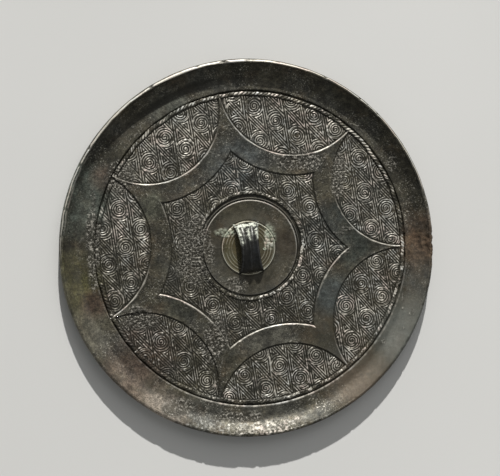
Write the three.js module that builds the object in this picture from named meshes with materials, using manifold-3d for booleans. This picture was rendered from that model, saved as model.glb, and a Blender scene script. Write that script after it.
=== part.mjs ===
// Ancient bronze mirror: one casting that lies on its flat reflecting face, with the decorated back up.
// Millimetres, +Z up. The origin is on the disc's axis, in the plane of the reflecting face.

import * as THREE from "three";
import { mergeVertices } from "three/addons/utils/BufferGeometryUtils.js";
import Module from "manifold-3d";

const wasm = await Module();
wasm.setup();
const { Manifold } = wasm;

// Disc and rolled-up rim
const mirrorDiameter = 180;
const lipHeight = 8; // from the reflecting face to the crest of the rim
const lipBevelWidth = 1.6;
const lipBevelHeight = 1.1;
const faceChamfer = 0.5;
const rimWidth = 8.4; // the concave rise, from the plain zone to the crest
const plainZoneWidth = 4.3;
const plainZoneHeight = 2.5;
const groundHeight = 1.8; // the plate's thickness under the pattern
const groundCentre = new THREE.Vector2(1.95, 0); // the ground and its rope lie a little off the disc's axis

// Rope rings
const ropeWidth = 2.2;
const ropeRise = 0.8;
const ropeGap = 0.6; // between the outer rope and the step up to the plain zone
const innerRopeWidth = 2;
const innerRopeRadius = 25.4;
const innerRopeCentre = new THREE.Vector2(1.1, 1.15);

// Linked arcs: each runs between two neighbouring points, its hollow side towards the rim
const arcCentre = new THREE.Vector2(1.25, -0.6);
const arcPointDegrees = [1, 50, 102, 152.5, 206, 258, 310];
const arcBandWidth = 9.6;
const arcDepth = 25.15; // from the points inwards to the bottom of each arc's hollow
const arcPointWidth = 1;
const arcRise = 0.55;
const arcDish = 0.3; // how far the band's middle lies below its edges

// Whorl ground. Each field of it was stamped on its own: how far down the pattern the whorls of the first
// column start, and how much further down each next column's start.
const patternTurn = THREE.MathUtils.degToRad(9.9);
const whorlPitch = 17.2;
const rightColumns = { first: 5.2, pitch: 9.27 };
const leftColumns = { first: -3.3, pitch: 9.1 };
const arcFields = [[1.3, 8.6], [11, 8.7], [3, 6.8], [8.3, -7.1], [16.2, -6.3], [6.6, 7.8], [4.3, 7.9]];
const upperRightField = [11, 8.7];
const lowerRightField = [0.6, 8.7];
const upperLeftField = [16, -7];
const lowerLeftField = [3, -7];
const lowerRightEnd = 28.5; // across the columns, where the upper right field starts again
const whorlRadius = 3.9;
const whorlTurns = 1.35;
const patternLine = 1.2; // width of a raised line at its foot
const patternRise = 0.4;
const wornCentre = new THREE.Vector2(-25, -2);
const wornSize = new THREE.Vector2(9, 12); // half width and half height of the stretch worn smooth

// Plain ring band, its grooves and the knob's seat
const centreGrooveHeight = 1.7;
const ringBandOuter = 22.6;
const ringBandInner = 13.5;
const ringBandCentre = new THREE.Vector2(0.9, 0.3);
const ringBandRise = 0.6;
const ringBandDish = 0.3;
const seatRadius = 13;
const seatHeight = 2.6;
const seatEdgeWidth = 0.6;
const seatEdgeRise = 0.3;

// Strap knob with three lengthwise ridges over a passage for a cord
const knobTurn = THREE.MathUtils.degToRad(7);
const knobLength = 24;
const knobFootWidth = 12.9;
const knobWaistWidth = 8.8;
const ridgeRise = 1.2;
const ridgeInset = 0.8; // from the strap's side to the crest of its outer ridge
const strapThickness = 0.8;
const strapBow = 0.85; // 0.5 would make the strap's side view an ellipse, 1 a parabola
const passageWidth = 11.6;
const passageHeight = 4.6;

// How finely curves are cut
const discSides = 60;
const centreSides = 36;
const rimSteps = 4;
const arcSteps = 10;
const strapSteps = 12;
const whorlSteps = 8;
const embed = 0.4; // how far a raised part is sunk into what carries it
const mitreOverlap = 0.03; // how far neighbouring arcs run into each other

const bronze = new THREE.MeshStandardMaterial({ color: 0x4c4b41, roughness: 0.6, metalness: 0.7 });
bronze.name = "patinated_bronze";

const mirrorRadius = mirrorDiameter / 2;
const crestRadius = mirrorRadius - lipBevelWidth;
const rimFootRadius = crestRadius - rimWidth;
const stepRadius = rimFootRadius - plainZoneWidth;
const outerRopeRadius = stepRadius - ropeGap - ropeWidth / 2;
const arcPointRadius = outerRopeRadius - ropeWidth / 2;
const arcBottomRadius = arcPointRadius - arcDepth;

// A closed three.js geometry as a solid.
function solidOf(geometry) {
  const bare = new THREE.BufferGeometry().setAttribute("position", geometry.getAttribute("position"));
  bare.setIndex(geometry.getIndex());
  const merged = mergeVertices(bare, 1e-4);
  return new Manifold(
    new wasm.Mesh({
      numProp: 3,
      vertProperties: new Float32Array(merged.getAttribute("position").array),
      triVerts: new Uint32Array(merged.getIndex().array),
    }),
  );
}

// A solid turned about a vertical axis at a centre. The profile runs outwards below and back inwards above.
function turned(profile, sides, centre = new THREE.Vector2()) {
  const points = profile.map(([r, z]) => new THREE.Vector2(r, z));
  const geometry = new THREE.LatheGeometry(points, sides);
  geometry.rotateX(Math.PI / 2);
  geometry.translate(centre.x, centre.y, 0);
  return solidOf(geometry);
}

// An upright cylinder from one height to another.
function cylinder(radius, low, high, sides, centre) {
  return turned([[0, low], [radius, low], [radius, high], [0, high]], sides, centre);
}

// A solid through sections of equal point count, each a closed loop seen from the end of the path.
function lofted(sections) {
  const count = sections[0].length;
  const positions = sections.flat().flatMap((p) => [p.x, p.y, p.z]);
  const index = [];
  for (let s = 0; s + 1 < sections.length; s++) {
    for (let i = 0; i < count; i++) {
      const j = (i + 1) % count;
      const a = s * count;
      const b = a + count;
      index.push(a + i, a + j, b + j, a + i, b + j, b + i);
    }
  }
  index.push(...capOf(sections[0], 0, false));
  index.push(...capOf(sections.at(-1), (sections.length - 1) * count, true));
  const geometry = new THREE.BufferGeometry();
  geometry.setAttribute("position", new THREE.Float32BufferAttribute(positions, 3));
  geometry.setIndex(index);
  return solidOf(geometry);
}

// The triangles that close one end of a loft.
function capOf(section, offset, last) {
  const across = section[1].clone().sub(section[0]).setZ(0);
  section.forEach((p) => {
    const reach = p.clone().sub(section[0]).setZ(0);
    if (reach.length() > across.length()) across.copy(reach);
  });
  across.normalize();
  const flat = section.map((p) => new THREE.Vector2(p.clone().sub(section[0]).dot(across), p.z));
  const faces = THREE.ShapeUtils.triangulateShape(flat, []);
  const forward = THREE.ShapeUtils.area(flat) > 0;
  return faces.flatMap(([a, b, c]) => {
    const sameWay = last === forward;
    return sameWay ? [a + offset, b + offset, c + offset] : [a + offset, c + offset, b + offset];
  });
}

// A block over a flat outline, from one height to another.
function block(outline, low, high) {
  const shape = new THREE.Shape(outline);
  const geometry = new THREE.ExtrudeGeometry(shape, { depth: high - low, bevelEnabled: false });
  geometry.translate(0, 0, low);
  return solidOf(geometry);
}

// A point at a distance and an angle from a centre.
function polar(radius, angle, centre = new THREE.Vector2()) {
  return new THREE.Vector2(centre.x + radius * Math.cos(angle), centre.y + radius * Math.sin(angle));
}

// The disc with its rim. The rim rises in a hollow curve from the plain zone to the crest.
function plate() {
  const rise = lipHeight - plainZoneHeight;
  const profile = [
    [0, 0],
    [mirrorRadius - faceChamfer, 0],
    [mirrorRadius, faceChamfer],
    [mirrorRadius, lipHeight - lipBevelHeight],
  ];
  for (let i = rimSteps; i >= 0; i--) {
    const share = i / rimSteps;
    profile.push([rimFootRadius + rimWidth * share, plainZoneHeight + rise * share ** 2]);
  }
  profile.push([0, plainZoneHeight]);
  return turned(profile, discSides);
}

// The hollow for the patterned ground, and the deeper one round the ring band.
function grounds() {
  const above = lipHeight + 1;
  const outer = cylinder(stepRadius, groundHeight, above, discSides, groundCentre);
  const inner = cylinder(innerRopeRadius, centreGrooveHeight, above, centreSides, innerRopeCentre);
  return outer.add(inner);
}

// A rope ring's body, rounded on top.
function rope(radius, width, sides, centre) {
  const half = width / 2;
  const foot = groundHeight - embed;
  return turned([
    [radius - half, foot],
    [radius + half, foot],
    [radius + half, groundHeight],
    [radius + half / 2, groundHeight + ropeRise],
    [radius - half / 2, groundHeight + ropeRise],
    [radius - half, groundHeight],
    [radius - half, foot],
  ], sides, centre);
}

// The plain ring band with its dished top, and the round seat with its raised edge.
function centreRelief() {
  const bandTop = groundHeight + ringBandRise;
  const foot = centreGrooveHeight - embed;
  const bandMiddle = (ringBandOuter + ringBandInner) / 2;
  const underSeat = seatRadius - ringBandCentre.length();
  const band = turned([
    [underSeat, foot],
    [ringBandOuter, foot],
    [ringBandOuter, bandTop],
    [(ringBandOuter + bandMiddle) / 2, bandTop - ringBandDish * 0.75],
    [bandMiddle, bandTop - ringBandDish],
    [(ringBandInner + bandMiddle) / 2, bandTop - ringBandDish * 0.75],
    [ringBandInner, bandTop],
    [underSeat, bandTop],
    [underSeat, foot],
  ], centreSides, ringBandCentre);
  const seatHole = cylinder(ringBandInner, foot + embed, lipHeight, centreSides);
  const seat = turned([
    [0, foot],
    [seatRadius, foot],
    [seatRadius, seatHeight + seatEdgeRise],
    [seatRadius - seatEdgeWidth, seatHeight + seatEdgeRise],
    [seatRadius - seatEdgeWidth, seatHeight],
    [0, seatHeight],
  ], centreSides);
  return band.subtract(seatHole).add(seat);
}

// Each linked arc is struck from a centre outside the ground, so that neighbours meet in a narrow point.
const arcs = arcPointDegrees.map((degrees, i) => {
  const next = i + 1 < arcPointDegrees.length ? arcPointDegrees[i + 1] : arcPointDegrees[0] + 360;
  const start = THREE.MathUtils.degToRad(degrees);
  const end = THREE.MathUtils.degToRad(next);
  const half = (end - start) / 2;
  const reach = (arcBottomRadius - arcPointWidth / 2) / (1 - Math.sin(half));
  return { start, end, middle: start + half, centre: polar(reach, start + half, arcCentre),
    hollowRadius: reach - arcBottomRadius };
});

// One linked arc: a dished band, mitred at its two points.
function linkedArc({ start, end, middle, centre, hollowRadius }) {
  const top = groundHeight + arcRise;
  const foot = groundHeight - embed;
  const shares = [-1, -0.5, 0.5, 1];
  const sections = [];
  for (let i = 0; i <= arcSteps; i++) {
    const angle = middle + Math.PI + (Math.PI / 2) * ((2 * i) / arcSteps - 1);
    const at = (radius, height) => {
      const p = polar(radius, angle, centre);
      return new THREE.Vector3(p.x, p.y, height);
    };
    const crown = shares.map((share) => {
      const radius = hollowRadius + ((1 + share) / 2) * arcBandWidth;
      return at(radius, top - arcDish * (1 - share ** 2));
    });
    sections.push([at(hollowRadius, foot), ...crown, at(hollowRadius + arcBandWidth, foot)]);
  }
  const far = 2 * mirrorRadius;
  const wedge = block([
    polar(-mitreOverlap / Math.sin(middle - start), middle, arcCentre),
    polar(far, start - mitreOverlap / far, arcCentre),
    polar(far, end + mitreOverlap / far, arcCentre),
  ], 0, lipHeight);
  return lofted(sections).intersect(wedge);
}

// The band of linked arcs, ending where its points reach the outer rope.
function arcBand() {
  const within = cylinder(outerRopeRadius, 0, lipHeight, discSides, groundCentre);
  return Manifold.union(arcs.map(linkedArc)).intersect(within);
}

// A raised line of triangular section along a path in plan, standing on the ground.
function ridge(path) {
  const sections = path.map((p, i) => {
    const along = path[Math.min(i + 1, path.length - 1)].clone().sub(path[Math.max(i - 1, 0)]).normalize();
    const side = new THREE.Vector2(-along.y, along.x).multiplyScalar(patternLine / 2);
    return [
      new THREE.Vector3(p.x + side.x, p.y + side.y, groundHeight),
      new THREE.Vector3(p.x, p.y, groundHeight + patternRise),
      new THREE.Vector3(p.x - side.x, p.y - side.y, groundHeight),
    ];
  });
  return lofted(sections);
}

// From the pattern's own directions, across the columns and down them, to a place on the disc.
function patternPoint(across, down) {
  return new THREE.Vector2(
    across * Math.cos(patternTurn) + down * Math.sin(patternTurn),
    across * Math.sin(patternTurn) - down * Math.cos(patternTurn),
  );
}

// A spiral whorl round a point of the pattern.
function whorl(across, down) {
  const path = [];
  for (let i = 0; i <= whorlSteps; i++) {
    const share = i / whorlSteps;
    const angle = share * whorlTurns * 2 * Math.PI;
    const radius = patternLine / 2 + (whorlRadius - patternLine / 2) * share;
    path.push(patternPoint(across + radius * Math.cos(angle), down + radius * Math.sin(angle)));
  }
  return ridge(path);
}

// Between two whorls of a column, a line runs from the left of the upper one to the right of the lower one.
function diagonal(across, down) {
  const halfColumn = leftColumns.pitch / 2 - patternLine / 2;
  const gap = whorlPitch / 2 - whorlRadius;
  return ridge([
    patternPoint(across - halfColumn, down - gap),
    patternPoint(across + halfColumn, down + gap),
  ]);
}

// Whether a point is on the band of linked arcs.
function underArcs(point) {
  const angle = Math.atan2(point.y - arcCentre.y, point.x - arcCentre.x);
  return arcs.some(({ start, end, centre, hollowRadius }) => {
    const turn = THREE.MathUtils.euclideanModulo(angle - start, 2 * Math.PI);
    const distance = point.distanceTo(centre);
    return turn < end - start && distance > hollowRadius && distance < hollowRadius + arcBandWidth;
  });
}

// Whether a point is on open ground, and not where the pattern was worn away.
function showsOnGround(point) {
  const worn = Math.hypot((point.x - wornCentre.x) / wornSize.x, (point.y - wornCentre.y) / wornSize.y) < 1;
  const outside = point.distanceTo(groundCentre) > outerRopeRadius;
  const inside = point.distanceTo(innerRopeCentre) < innerRopeRadius;
  return !outside && !inside && !underArcs(point) && !worn;
}

// The field that a place of the pattern belongs to.
function fieldAt(point, across, down) {
  const beyondStar = point.distanceTo(arcCentre) > arcBottomRadius - arcBandWidth;
  const inArc = ({ centre, hollowRadius }) => point.distanceTo(centre) < hollowRadius + arcBandWidth / 2;
  const arc = beyondStar ? arcs.findIndex(inArc) : -1;
  if (arc >= 0) return arcFields[arc];
  if (across < (leftColumns.first + rightColumns.first) / 2) return down > 0 ? lowerLeftField : upperLeftField;
  return down > 0 && across < lowerRightEnd ? lowerRightField : upperRightField;
}

// The whorls and diagonals of one field, in the part of a column that belongs to it.
function fieldColumn(field, column, across) {
  const rows = Math.ceil(stepRadius / whorlPitch) + 1;
  const [phase, stagger] = field;
  const first = THREE.MathUtils.euclideanModulo(phase + stagger * column, whorlPitch);
  const pieces = [];
  for (let row = -rows; row <= rows; row++) {
    for (const [make, down] of [[whorl, first + row * whorlPitch], [diagonal, first + (row + 0.5) * whorlPitch]]) {
      const point = patternPoint(across, down);
      if (fieldAt(point, across, down) === field && showsOnGround(point)) pieces.push(make(across, down));
    }
  }
  return pieces;
}

// The columns of whorls over the whole ground, cut off at the two ropes.
function whorlGround() {
  const columns = Math.ceil(stepRadius / leftColumns.pitch);
  const fields = [...arcFields, upperRightField, lowerRightField, upperLeftField, lowerLeftField];
  const pieces = [];
  for (let column = -columns; column <= columns; column++) {
    const across = column < 0
      ? leftColumns.first + leftColumns.pitch * (column + 1)
      : rightColumns.first + rightColumns.pitch * column;
    for (const field of fields) pieces.push(...fieldColumn(field, column, across));
  }
  const high = groundHeight + patternRise;
  const outer = cylinder(outerRopeRadius, 0, high, discSides, groundCentre);
  const inner = cylinder(innerRopeRadius, 0, high, centreSides, innerRopeCentre);
  return Manifold.union(pieces).intersect(outer.subtract(inner));
}

// The knob's strap: an arch along its length, with three ridges on top. Its feet run down through the seat,
// so that their corners fill the groove round it instead of bridging it.
function strap() {
  const halfLength = knobLength / 2;
  const crown = passageHeight + strapThickness;
  const foot = seatHeight - embed;
  const base = centreGrooveHeight - embed;
  const along = new THREE.Vector2(-Math.sin(knobTurn), Math.cos(knobTurn));
  const sideways = new THREE.Vector2(Math.cos(knobTurn), Math.sin(knobTurn));
  const sections = [];
  for (let i = 0; i <= strapSteps; i++) {
    const angle = Math.PI * (i / strapSteps - 0.5);
    const place = halfLength * Math.sin(angle);
    const lift = Math.cos(angle) ** (2 * strapBow);
    const halfWidth = (knobFootWidth + (knobWaistWidth - knobFootWidth) * lift) / 2;
    const valley = foot + (embed + crown) * lift + embed / 4;
    const crest = valley + ridgeRise * lift;
    const outerRidge = halfWidth - ridgeInset;
    const outline = [
      [-halfWidth, base],
      [-halfWidth, valley],
      [-outerRidge, crest],
      [-outerRidge / 2, valley],
      [0, crest],
      [outerRidge / 2, valley],
      [outerRidge, crest],
      [halfWidth, valley],
      [halfWidth, base],
    ];
    sections.push(outline.map(([w, z]) => new THREE.Vector3(
      along.x * place + sideways.x * w, along.y * place + sideways.y * w, z)));
  }
  return lofted(sections);
}

// The cord's passage under the strap: flat below, arched above, open on both sides.
function passage() {
  const steps = 12;
  const squareness = 2.6;
  const outline = [];
  for (let i = 0; i <= steps; i++) {
    const angle = (Math.PI * i) / steps;
    const across = Math.sign(Math.cos(angle)) * Math.abs(Math.cos(angle)) ** (2 / squareness);
    const up = Math.sin(angle) ** (2 / squareness);
    outline.push(new THREE.Vector2((passageWidth / 2) * across, seatHeight + passageHeight * up));
  }
  const depth = 2 * knobFootWidth;
  const geometry = new THREE.ExtrudeGeometry(new THREE.Shape(outline), { depth, bevelEnabled: false });
  geometry.translate(0, 0, -depth / 2);
  geometry.rotateX(Math.PI / 2);
  geometry.rotateZ(Math.PI / 2 + knobTurn);
  return solidOf(geometry);
}

function mirror() {
  const solid = plate()
    .subtract(grounds())
    .add(centreRelief())
    .add(rope(outerRopeRadius, ropeWidth, discSides, groundCentre))
    .add(rope(innerRopeRadius, innerRopeWidth, centreSides, innerRopeCentre))
    .add(arcBand())
    .add(whorlGround())
    .add(strap().subtract(passage()));
  const cast = solid.getMesh();
  const geometry = new THREE.BufferGeometry();
  geometry.setAttribute("position", new THREE.Float32BufferAttribute(cast.vertProperties, 3));
  geometry.setIndex(new THREE.Uint32BufferAttribute(cast.triVerts, 1));
  const mesh = new THREE.Mesh(geometry, bronze);
  mesh.name = "mirror";
  return mesh;
}

const group = new THREE.Group();
group.add(mirror());
export default group;
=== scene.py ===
"""Looks of an ancient bronze mirror that lies on its reflecting face, its decorated back up.

Shapes are worked out in millimetres in the part's own frame. The mirror is one casting, but its relief is
made as several meshes, each with its own fineness. Together they stand for the one node.
"""

from math import acos, asin, cos, pi, radians, sin, sqrt

import bpy
import numpy as np
from mathutils import Matrix, Vector


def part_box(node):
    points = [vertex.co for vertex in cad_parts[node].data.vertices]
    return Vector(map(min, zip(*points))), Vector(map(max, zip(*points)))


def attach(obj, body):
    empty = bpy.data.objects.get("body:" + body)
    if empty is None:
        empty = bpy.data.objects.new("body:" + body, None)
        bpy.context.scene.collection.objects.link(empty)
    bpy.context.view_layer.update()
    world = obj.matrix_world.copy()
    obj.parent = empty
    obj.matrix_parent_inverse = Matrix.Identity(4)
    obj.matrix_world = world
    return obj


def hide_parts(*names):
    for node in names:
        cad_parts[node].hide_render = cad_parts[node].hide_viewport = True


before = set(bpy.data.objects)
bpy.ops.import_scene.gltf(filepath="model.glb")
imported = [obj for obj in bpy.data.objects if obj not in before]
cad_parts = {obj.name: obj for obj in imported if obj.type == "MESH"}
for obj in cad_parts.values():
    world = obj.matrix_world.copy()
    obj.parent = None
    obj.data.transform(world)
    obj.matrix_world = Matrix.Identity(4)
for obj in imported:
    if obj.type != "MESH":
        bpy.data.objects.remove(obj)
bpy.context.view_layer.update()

NODE = "mirror"
MM = 0.001
node_low, node_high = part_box(NODE)

# Disc and rolled-up rim, as in the part
RADIUS = (node_high.x - node_low.x) / 2 / MM
LIP_HEIGHT = 8
LIP_BEVEL_WIDTH = 1.6
LIP_BEVEL_HEIGHT = 1.1
WORN_BEVEL = [(0.02, -0.1), (0.15, 0.2), (0.45, 0.55), (0.62, 0.72), (0.8, 0.88), (1, 0.97), (1.2, 1.03)]
FACE_CHAMFER = 0.5
RIM_WIDTH = 8.4
PLAIN_ZONE_WIDTH = 4.3
PLAIN_ZONE_HEIGHT = 2.5
GROUND_HEIGHT = 1.8
GROUND_CENTRE = np.array([1.95, 0])

# Rope rings
ROPE_WIDTH = 2.2
INNER_ROPE_WIDTH = 2
ROPE_RISE = 0.8
ROPE_GAP = 0.6
INNER_ROPE_RADIUS = 25.4
INNER_ROPE_CENTRE = np.array([1.1, 1.15])
STRAND_PITCH = 1.95

# Linked arcs
ARC_CENTRE = np.array([1.25, -0.6])
ARC_POINT_DEGREES = [1, 50, 102, 152.5, 206, 258, 310]
ARC_BAND_WIDTH = 9.6
ARC_DEPTH = 25.15
ARC_POINT_WIDTH = 1
ARC_RISE = 0.55
ARC_DISH = 0.3

# Whorl ground: each arc's hollow, and each quarter of the star, was stamped on its own
PATTERN_TURN = radians(9.9)
WHORL_PITCH = 17.2
RIGHT_COLUMNS = (5.2, 9.27)  # the first column, and from each column to the next
LEFT_COLUMNS = (-3.3, 9.1)
FIELD_STAMPS = [(1.3, 8.6), (11, 8.7), (3, 6.8), (8.3, -7.1), (16.2, -6.3), (6.6, 7.8), (4.3, 7.9)]
STAR_STAMPS = [(16, -7), (3, -7), (11, 8.7), (0.6, 8.7)]  # upper and lower left, upper and lower right
LOWER_RIGHT_END = 28.5  # across the columns, where the upper right stamp starts again
WHORL_RADIUS = 4.3
LINE_PITCH = 1.08
LINE_RISE = 0.36
GRID_STEP = 0.22

# Ring band, grooves, seat and knob
CENTRE_GROOVE_HEIGHT = 1.7
RING_BAND_OUTER = 22.6
RING_BAND_INNER = 13.5
RING_BAND_CENTRE = np.array([0.9, 0.3])
RING_BAND_RISE = 0.6
RING_BAND_DISH = 0.3
SCRIBED_LINE_OFFSET = 1.1  # from the band to the fine line round it
SCRIBED_SHAPE = [(0.3, 0), (0.1, 0.3), (-0.1, 0.3), (-0.3, 0)]
SEAT_RADIUS = 13
SEAT_HEIGHT = 2.6
SEAT_EDGE_WIDTH = 0.6
SEAT_EDGE_RISE = 0.3
KNOB_TURN = radians(7)
KNOB_LENGTH = 24
KNOB_FOOT_WIDTH = 12.9
KNOB_WAIST_WIDTH = 8.8
RIDGE_RISE = 1.2
RIDGE_INSET = 0.8
STRAP_THICKNESS = 0.8
STRAP_BOW = 0.85  # 0.5 would make the strap's side view an ellipse, 1 a parabola
PASSAGE_WIDTH = 11.6
PASSAGE_HEIGHT = 4.6
PASSAGE_SQUARENESS = 2.6

CREST_RADIUS = RADIUS - LIP_BEVEL_WIDTH
RIM_FOOT_RADIUS = CREST_RADIUS - RIM_WIDTH
STEP_RADIUS = RIM_FOOT_RADIUS - PLAIN_ZONE_WIDTH
OUTER_ROPE_RADIUS = STEP_RADIUS - ROPE_GAP - ROPE_WIDTH / 2
ARC_POINT_RADIUS = OUTER_ROPE_RADIUS - ROPE_WIDTH / 2
ARC_BOTTOM_RADIUS = ARC_POINT_RADIUS - ARC_DEPTH
WALL_TOP = LIP_HEIGHT - LIP_BEVEL_HEIGHT
SCRIBED_RADIUS = RING_BAND_OUTER + SCRIBED_LINE_OFFSET
RING_BAND_MIDDLE = (RING_BAND_OUTER + RING_BAND_INNER) / 2
RING_BAND_TOP = GROUND_HEIGHT + RING_BAND_RISE
SEAT_INSIDE = SEAT_RADIUS - SEAT_EDGE_WIDTH
SEAT_EDGE_TOP = SEAT_HEIGHT + SEAT_EDGE_RISE
UNDER_RELIEF = 1.3  # height of the hidden plate under the relief's meshes
RELIEF_FOOT = 1  # height of those meshes' undersides

# Fineness of the meshes
DISC_SIDES = 880
CENTRE_SIDES = 480
ARC_STATIONS = 190
ROPE_STEPS = 8  # along each strand
STRAP_STATIONS = 110

# Camera: it looks down from the left of the axis
CAMERA_LEFT = radians(9)
CAMERA_UP = radians(1)
CAMERA_AWAY = 0.7
CAMERA_AIM = (0, 0, 0.003)
SENSOR_WIDTH = 36
PHOTO_WIDTH = 500
PIXELS_PER_MM = 188.4 / 90
SHIFT_PIXELS = (1.35, 10)

# Light and floor
FLOOR_REACH = 3.0
FLOOR_GAP = 0.0002  # under the reflecting face
KEY_HEIGHT = radians(26)
KEY_PLACE = (0.02, cos(KEY_HEIGHT), sin(KEY_HEIGHT))
KEY_ENERGY = 4.75
KEY_ANGLE = radians(1)
KEY_COLOUR = (1, 0.985, 0.95)
FILL_PLACE = (0.25, 0.75, 1)
FILL_ENERGY = 2.2
FILL_SIZE = 0.9
ROOM_COLOUR = (0.96, 0.97, 0.95, 1)
ROOM_STRENGTH = 0.235

# Tints of the patina
COOL_TINT = (0.86, 0.98, 1.3)
WARM_TINT = (1.25, 1, 0.85)
ROSY_TINT = (1.06, 0.92, 0.94)
BLUISH_TINT = (0.9, 0.98, 1.08)
CRUST_COLOUR = (0.057, 0.049, 0.032)

# Places of wear and corrosion on the back: centre x, y and half sizes x, y
PALE_PLACES = [
    (-25.6, -1, 8.2, 16), (-6.2, -18.3, 6, 4.5), (-15.7, -45.6, 6.5, 12), (25, 42, 16, 5),
    (43.6, 34.8, 4, 12), (-74, 3, 2.9, 25), (-62, 34, 7, 8), (-52, -33, 8, 6),
    (70.4, 42, 3, 5), (-6, -80.5, 16, 2.6), (-34, -76, 9, 4),
]
BROWN_PLACES = [(-56, 56, 14, 8), (-44, -72, 22, 9), (20, 18, 10, 7), (60, -56, 10, 8)]
GREEN_PLACES = [(10.3, 5.2, 3.2, 6.6), (-11, 7.2, 5.4, 2), (7.9, -0.4, 0.9, 0.9)]
LIP_FLAW = (-12.4, 87.6, 2.4, 1)
PAINTED_KNOB_SHADOW = (1.8, -14.6, 6.2, 2.2)  # painted shadow below the knob's lower foot
LIP_LINE_RADIUS = 89.3  # of the bright line along the lip's upper side: wear, and a painted highlight where the bevel faces the key

BOTTOM = -1.45  # direction in which the lip is rounded and gets a painted gleam
LOWER_LEFT = -2.45  # direction in which the rope and the step are dull and brown
LOWER_RIGHT = -0.6  # direction in which the rope and the rim's outer slope get painted highlights
CALM_PLACES = [(64, -46, 42), (1, 0, 24)]  # smooth patina: centre x, y and radius

# Stains: centre x, y, radius, strength and colour
# The pale stains low on the rim at (-58, -66), (-43, -79) and (79, -41) are partly stain and partly painted
# highlight, where the rim's slope faces the key.
STAINS = [
    (-82, 24, 22, 0.9, 0.096, 0.114, 0.098), (-83, -18, 19, 0.9, 0.094, 0.088, 0.038),
    (-69, 33, 8, 0.8, 0.094, 0.066, 0.048), (-78, -40, 15, 0.7, 0.128, 0.12, 0.09),
    (-58, -66, 20, 0.8, 0.175, 0.135, 0.104), (-43, -79, 15, 0.9, 0.33, 0.285, 0.238),
    (-50, -48, 20, 0.7, 0.07, 0.048, 0.036), (-73, -26, 9, 0.9, 0.066, 0.044, 0.032),
    (-38, 66, 12, 0.8, 0.098, 0.102, 0.084), (87, 3, 17, 0.9, 0.122, 0.078, 0.048),
    (79, -41, 22, 0.8, 0.14, 0.148, 0.132), (54, -66, 18, 0.8, 0.122, 0.096, 0.07),
    (51, 0, 13, 1, 0.042, 0.047, 0.039), (44, 15, 12, 1, 0.038, 0.042, 0.035),
    (-6, 18, 10, 0.8, 0.058, 0.052, 0.031), (19, 2, 9, 0.8, 0.044, 0.033, 0.021),
    (4, -18, 12, 0.7, 0.046, 0.042, 0.03), (-18.5, 0, 8, 0.8, 0.036, 0.033, 0.024),
    (9, -3.5, 5, 0.8, 0.06, 0.048, 0.026), (-26, -62, 12, 0.6, 0.08, 0.072, 0.044),
    (-46, 20, 9, 0.7, 0.092, 0.096, 0.07), (-6, 40, 17, 0.8, 0.066, 0.076, 0.078),
    (36, 8, 15, 0.8, 0.046, 0.052, 0.05), (40, -22, 13, 0.9, 0.066, 0.075, 0.072),
    (10, -44, 16, 0.6, 0.09, 0.086, 0.068), (-32, -28, 9, 0.5, 0.058, 0.064, 0.05),
]


def hashed(ix, iy, seed):
    """A repeatable number from 0 to 1 for each cell of a lattice."""
    mask = 0xFFFFFFFF
    h = (ix.astype(np.int64) * 374761393 + iy.astype(np.int64) * 668265263 + seed * 362437) & mask
    h = ((h ^ (h >> 13)) * 1274126177) & mask
    return ((h ^ (h >> 16)) & 0xFFFFFF) / float(0x1000000)


def noise(x, y, seed):
    """Smooth noise from -1 to 1 with a lattice step of 1."""
    ix, iy = np.floor(x), np.floor(y)
    fx, fy = x - ix, y - iy
    sx = fx * fx * (3 - 2 * fx)
    sy = fy * fy * (3 - 2 * fy)
    low = hashed(ix, iy, seed) * (1 - sx) + hashed(ix + 1, iy, seed) * sx
    high = hashed(ix, iy + 1, seed) * (1 - sx) + hashed(ix + 1, iy + 1, seed) * sx
    return 2 * (low * (1 - sy) + high * sy) - 1


def noise_along(place, size, seed):
    """Smooth noise from -1 to 1 along a line."""
    return noise(place / size, place * 0, seed)


def turned(x, y, angle):
    """Places turned round the origin."""
    along, across = cos(angle), sin(angle)
    return x * along - y * across, x * across + y * along


def layered(x, y, size, layers, seed):
    """Noise of several sizes, each half the size and strength of the one before."""
    total = 0
    strength = 0.5
    for layer in range(layers):
        scale = 2**layer / size
        turned_x, turned_y = turned(x, y, layer)
        total = total + strength * noise(turned_x * scale + 31.7, turned_y * scale + 17.3, seed + layer)
        strength /= 2
    return total


def grains(x, y, size, seed):
    """Rounded grains, 1 at the middle of each and 0 between them."""
    x, y = x / size, y / size
    ix, iy = np.floor(x), np.floor(y)
    nearest = np.full(np.shape(x), 9)
    for dx in (-1, 0, 1):
        for dy in (-1, 0, 1):
            cx, cy = ix + dx, iy + dy
            px = cx + 0.15 + 0.7 * hashed(cx, cy, seed)
            py = cy + 0.15 + 0.7 * hashed(cx, cy, seed + 1)
            nearest = np.minimum(nearest, (x - px) ** 2 + (y - py) ** 2)
    return np.clip(1 - 1.9 * nearest, 0, 1)


def smooth(low, high, value):
    """0 below low, 1 above high, and a smooth step between."""
    share = np.clip((value - low) / (high - low), 0, 1)
    return share * share * (3 - 2 * share)


def bell(value, width):
    """1 where the value is 0, falling off on both sides."""
    return np.exp(-((value / width) ** 2))


def from_point(x, y, point):
    """Distance from a point."""
    return np.hypot(x - point[0], y - point[1])


def from_spot(x, y, spot):
    """Distance from a spot's centre, measured in its own half sizes."""
    cx, cy, half_x, half_y = spot
    return np.hypot((x - cx) / half_x, (y - cy) / half_y)


def places(x, y, spots, seed):
    """How strongly a point lies in one of the named places, with ragged edges."""
    ragged = 0.55 * layered(x, y, 7, 4, seed)
    strongest = np.zeros(np.shape(x))
    for spot in spots:
        strongest = np.maximum(strongest, 1 - smooth(0.65, 1.15, from_spot(x, y, spot) + ragged))
    return strongest


def towards(angle, middle, spread=0.5):
    """How near a direction is to a middle one, from 0 to 1, with soft ends."""
    away = (angle - middle + pi) % (2 * pi) - pi
    return np.exp(-((away / spread) ** 4))


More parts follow.
